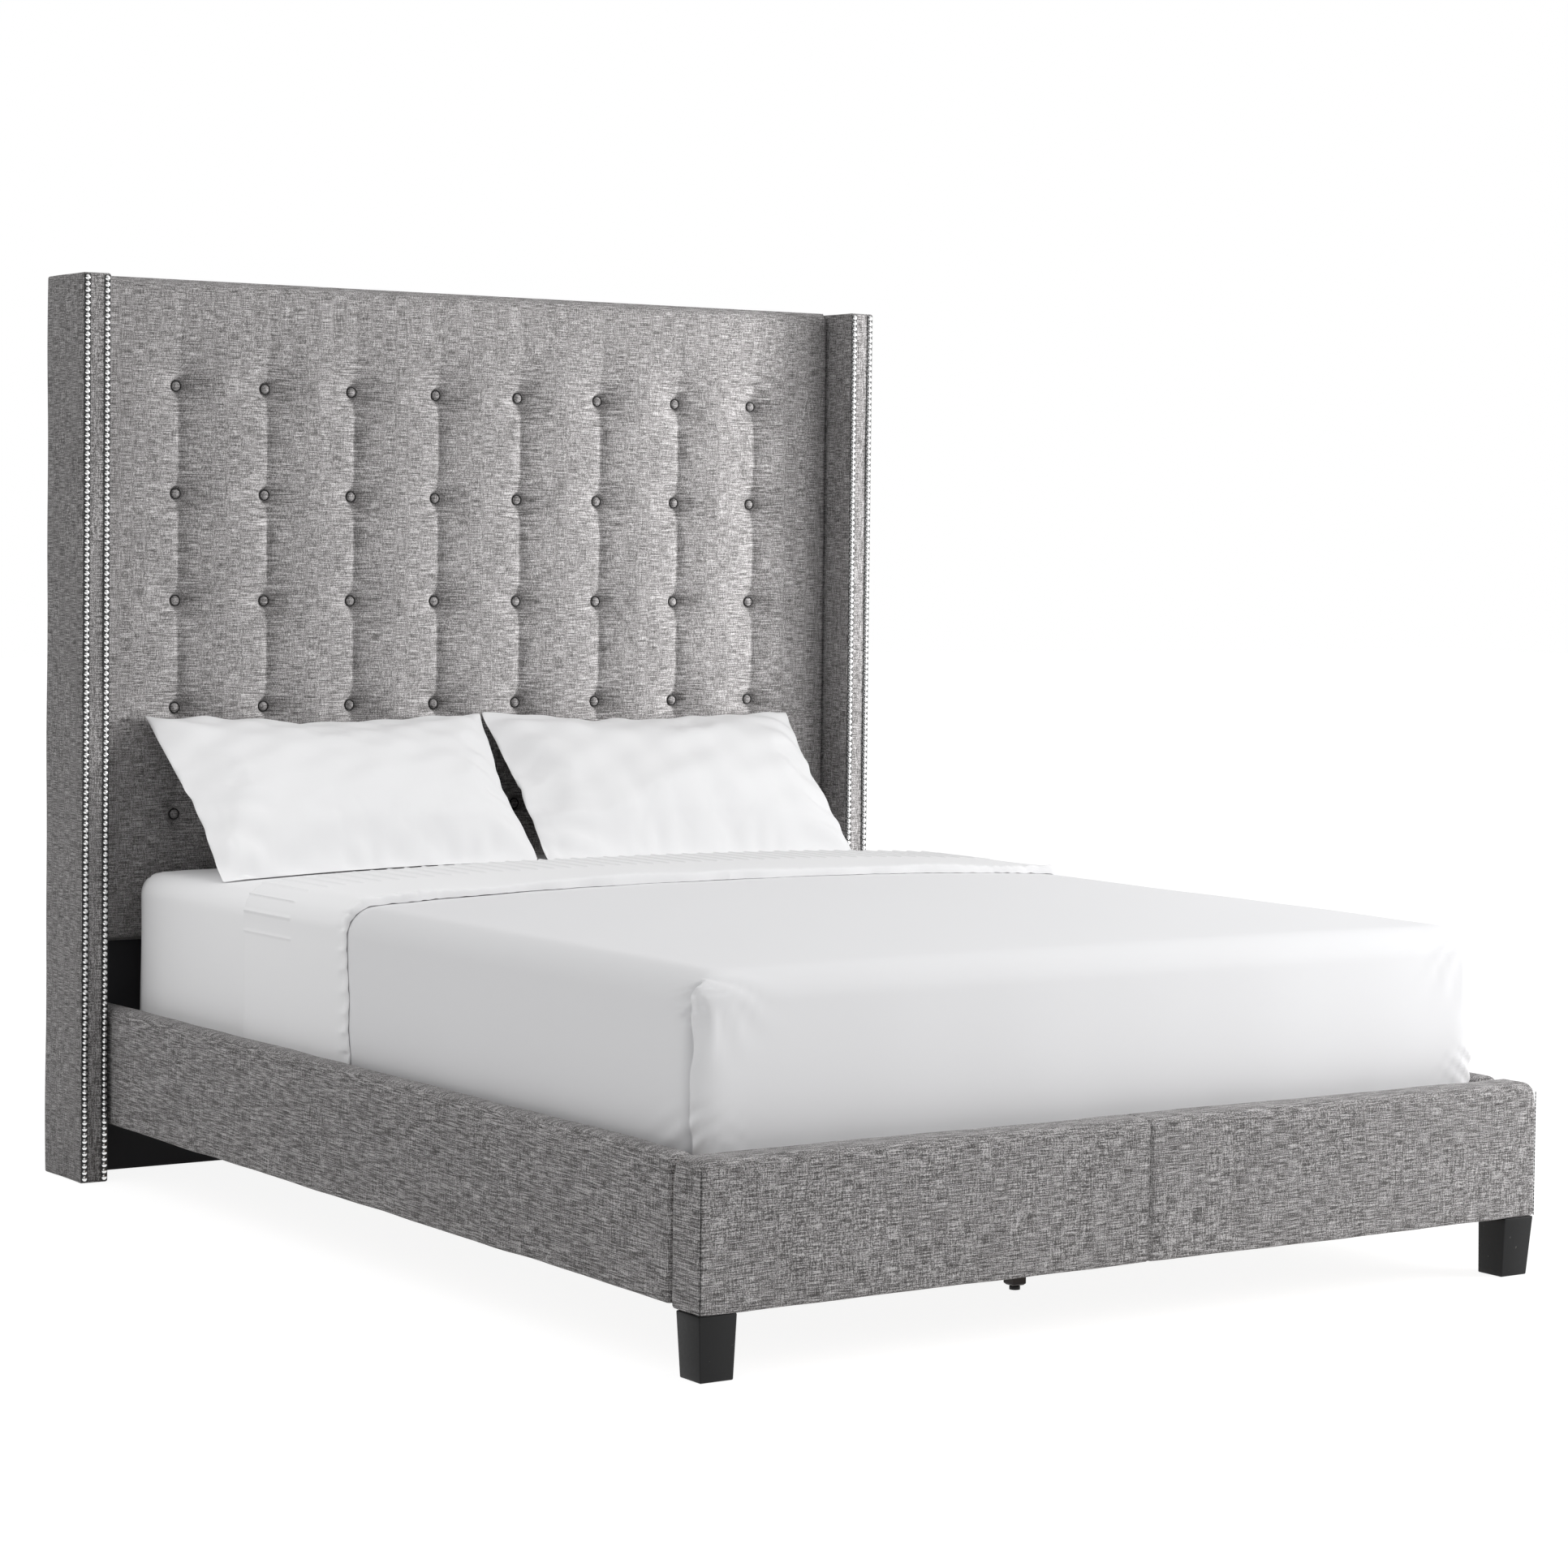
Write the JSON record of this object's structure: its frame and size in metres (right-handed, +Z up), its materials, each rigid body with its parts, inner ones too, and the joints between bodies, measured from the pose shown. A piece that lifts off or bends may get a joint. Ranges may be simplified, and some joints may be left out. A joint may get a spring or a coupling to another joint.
{
  "type": "wingback bed",
  "caption": "Upholstered bed with a tall button-tufted headboard between nail-trimmed wings, padded rails and footboard, tapered legs, slatted base, and a dressed mattress with pillows",
  "frame": {"origin": "on the floor, under the middle of the bed's bounding box", "axes": "+Y runs from the foot to the head of the bed, +Z is up, +X is to the right of someone who stands at the foot and looks at the headboard"},
  "size_m": [1.7718, 2.228, 1.694],
  "materials": {
    "linen": "matt slubbed linen weave",
    "black_cloth": "matt black cloth",
    "nailheads": "polished nickel plate",
    "frame_timber": "planed softwood, bare",
    "plywood": "sanded plywood, bare",
    "slat_timber": "planed softwood, bare",
    "black_leg": "black satin paint",
    "dark_leg": "dark brown satin stain",
    "bracket_steel": "black powder coat",
    "bolt_steel": "zinc plated",
    "glide_plastic": "moulded, matt",
    "webbing": "woven tape",
    "ticking": "knitted ticking, matt",
    "sheet_cotton": "plain white cotton",
    "coverlet_cotton": "plain white cotton",
    "pillow_cotton": "plain white cotton"
  },
  "bodies": {
    "bed_frame": {"beam_saddle_foot": "bracket_steel", "beam_saddle_head": "bracket_steel", "bed_slats": "slat_timber", "bracket_bolts": "bolt_steel", "centre_beam": "frame_timber", "centre_leg_front": "dark_leg", "centre_leg_middle": "dark_leg", "centre_leg_rear": "dark_leg", "corner_bracket_foot_left": "bracket_steel", "corner_bracket_foot_right": "bracket_steel", "corner_bracket_head_left": "bracket_steel", "corner_bracket_head_right": "bracket_steel", "footboard_board": "frame_timber", "footboard_cover": "linen", "front_leg_left": "black_leg", "front_leg_right": "black_leg", "headboard_bottom_rail": "frame_timber", "headboard_dust_cover": "black_cloth", "headboard_face_board": "plywood", "headboard_lower_panel": "black_cloth", "headboard_lower_rail": "frame_timber", "headboard_middle_rail": "frame_timber", "headboard_pad": "linen", "headboard_stile_left": "frame_timber", "headboard_stile_right": "frame_timber", "headboard_top_rail": "frame_timber", "leg_hanger_bolts": "bolt_steel", "nail_trim_left": "nailheads", "nail_trim_right": "nailheads", "saddle_screws": "bolt_steel", "side_rail_board_left": "frame_timber", "side_rail_board_right": "frame_timber", "side_rail_cover_left": "linen", "side_rail_cover_right": "linen", "slat_ledge_left": "frame_timber", "slat_ledge_right": "frame_timber", "slat_webbing": "webbing", "tuft_buttons": "linen", "wing_bolts": "bolt_steel", "wing_core_left": "frame_timber", "wing_core_right": "frame_timber", "wing_cover_left": "linen", "wing_cover_right": "linen"},
    "dressed_mattress": {"mattress": "ticking", "fitted_sheet": "sheet_cotton", "flat_sheet": "sheet_cotton", "coverlet": "coverlet_cotton"},
    "left_pillow": {"pillow_left": "pillow_cotton"},
    "right_pillow": {"pillow_right": "pillow_cotton"},
    "leveller_pad_front_body": {"leveller_pad_front": "glide_plastic"},
    "leveller_stud_front_body": {"leveller_stud_front": "bolt_steel"},
    "leveller_pad_middle_body": {"leveller_pad_middle": "glide_plastic"},
    "leveller_stud_middle_body": {"leveller_stud_middle": "bolt_steel"},
    "leveller_pad_rear_body": {"leveller_pad_rear": "glide_plastic"},
    "leveller_stud_rear_body": {"leveller_stud_rear": "bolt_steel"}
  },
  "joints": [
    {"name": "mattress_lift", "type": "slide", "parent": "bed_frame", "child": "dressed_mattress", "axis": [0, 0, 1], "range_m": [0, 0.35]},
    {"name": "left_pillow_lift", "type": "slide", "parent": "dressed_mattress", "child": "left_pillow", "axis": [0, 0, 1], "range_m": [0, 0.3]},
    {"name": "right_pillow_lift", "type": "slide", "parent": "dressed_mattress", "child": "right_pillow", "axis": [0, 0, 1], "range_m": [0, 0.3]},
    {"name": "front_leveller_travel", "type": "slide", "parent": "bed_frame", "child": "leveller_pad_front_body", "axis": [0, 0, -1], "range_m": [0, 0.012]},
    {"name": "front_leveller_turn", "type": "hinge", "parent": "leveller_pad_front_body", "child": "leveller_stud_front_body", "pos_m": [0, -0.768, 0.02], "axis": [0, 0, -1], "range_deg": [0, 4321]},
    {"name": "middle_leveller_travel", "type": "slide", "parent": "bed_frame", "child": "leveller_pad_middle_body", "axis": [0, 0, -1], "range_m": [0, 0.012]},
    {"name": "middle_leveller_turn", "type": "hinge", "parent": "leveller_pad_middle_body", "child": "leveller_stud_middle_body", "pos_m": [0, -0.023, 0.02], "axis": [0, 0, -1], "range_deg": [0, 4321]},
    {"name": "rear_leveller_travel", "type": "slide", "parent": "bed_frame", "child": "leveller_pad_rear_body", "axis": [0, 0, -1], "range_m": [0, 0.012]},
    {"name": "rear_leveller_turn", "type": "hinge", "parent": "leveller_pad_rear_body", "child": "leveller_stud_rear_body", "pos_m": [0, 0.722, 0.02], "axis": [0, 0, -1], "range_deg": [0, 4321]}
  ],
  "couplings": [
    {"joint": "front_leveller_turn", "follows": "front_leveller_travel", "rad_per_m": 6283.2},
    {"joint": "middle_leveller_turn", "follows": "middle_leveller_travel", "rad_per_m": 6283.2},
    {"joint": "rear_leveller_turn", "follows": "rear_leveller_travel", "rad_per_m": 6283.2}
  ]
}
